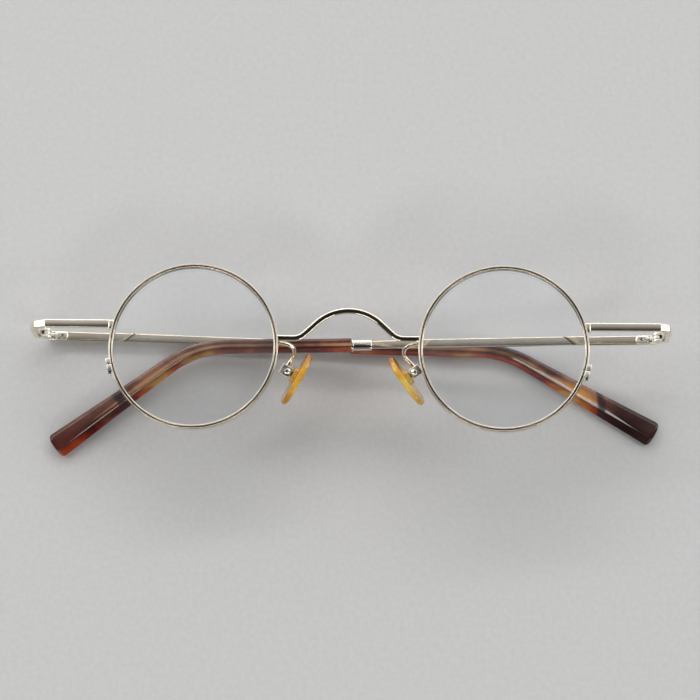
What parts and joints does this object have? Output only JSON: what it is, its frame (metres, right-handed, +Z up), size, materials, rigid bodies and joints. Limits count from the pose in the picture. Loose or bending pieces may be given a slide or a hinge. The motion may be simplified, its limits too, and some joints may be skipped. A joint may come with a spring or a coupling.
{
  "type": "round wire-frame eyeglasses",
  "caption": "Round wire-frame eyeglasses with clear lenses, arched bridge, nose pads on wire arms and folding temples with tortoise tips, lying face up.",
  "frame": {"origin": "middle of the bounding box, on the plane that the folded glasses lie on", "axes": "+X across the front, to the right as the front is seen; +Y up the front, from the pads to the brow; +Z up from the table, out through the faces of the lenses. Left and right in the names are as the front is seen."},
  "size_m": [0.1412, 0.0406, 0.0228],
  "materials": {
    "frame_metal": "polished, pale champagne gold plating",
    "hinge_metal": "bright polished, pale gold plating",
    "ferrule_metal": "bright polished sleeve",
    "screw_steel": "turned, slotted heads",
    "clear_lens": "clear, polished, thin coating",
    "amber_pad": "translucent amber",
    "tortoise_tip": "polished dark tortoise, translucent red-brown"
  },
  "bodies": {
    "front": {"left_rim": "frame_metal", "right_rim": "frame_metal", "left_lens": "clear_lens", "right_lens": "clear_lens", "bridge": "frame_metal", "left_end_piece": "frame_metal", "right_end_piece": "frame_metal", "left_closing_block_upper": "frame_metal", "right_closing_block_upper": "frame_metal", "left_closing_block_lower": "frame_metal", "right_closing_block_lower": "frame_metal", "left_closing_screw": "screw_steel", "right_closing_screw": "screw_steel", "left_pad_arm": "frame_metal", "right_pad_arm": "frame_metal", "left_pad_box": "hinge_metal", "right_pad_box": "hinge_metal", "left_pad_screw": "screw_steel", "right_pad_screw": "screw_steel", "left_front_hinge": "hinge_metal", "right_front_hinge": "hinge_metal", "left_hinge_screw": "screw_steel", "right_hinge_screw": "screw_steel"},
    "left_pad": {"left_pad_tongue": "hinge_metal", "left_nose_pad": "amber_pad"},
    "right_pad": {"right_pad_tongue": "hinge_metal", "right_nose_pad": "amber_pad"},
    "left_temple": {"left_temple_hinge": "hinge_metal", "left_temple_bar": "frame_metal", "left_ferrule": "ferrule_metal", "left_temple_tip": "tortoise_tip"},
    "right_temple": {"right_temple_hinge": "hinge_metal", "right_temple_bar": "frame_metal", "right_ferrule": "ferrule_metal", "right_temple_tip": "tortoise_tip"}
  },
  "joints": [
    {"name": "left_temple_fold", "type": "hinge", "parent": "front", "child": "left_temple", "pos_m": [-0.06756, 0.00688, 0.0035], "axis": [0, 1, 0], "range_deg": [0, 86.5]},
    {"name": "right_temple_fold", "type": "hinge", "parent": "front", "child": "right_temple", "pos_m": [0.06799, 0.00688, 0.01178], "axis": [0, -1, 0], "range_deg": [0, 90]},
    {"name": "left_pad_rock", "type": "hinge", "parent": "front", "child": "left_pad", "pos_m": [-0.0137, -0.00217, 0.0108], "axis": [0.1216, -0.2479, 0.9611], "range_deg": [-8, 8]},
    {"name": "right_pad_rock", "type": "hinge", "parent": "front", "child": "right_pad", "pos_m": [0.01444, -0.00217, 0.01252], "axis": [-0.1905, -0.2599, 0.9467], "range_deg": [-8, 8]}
  ]
}
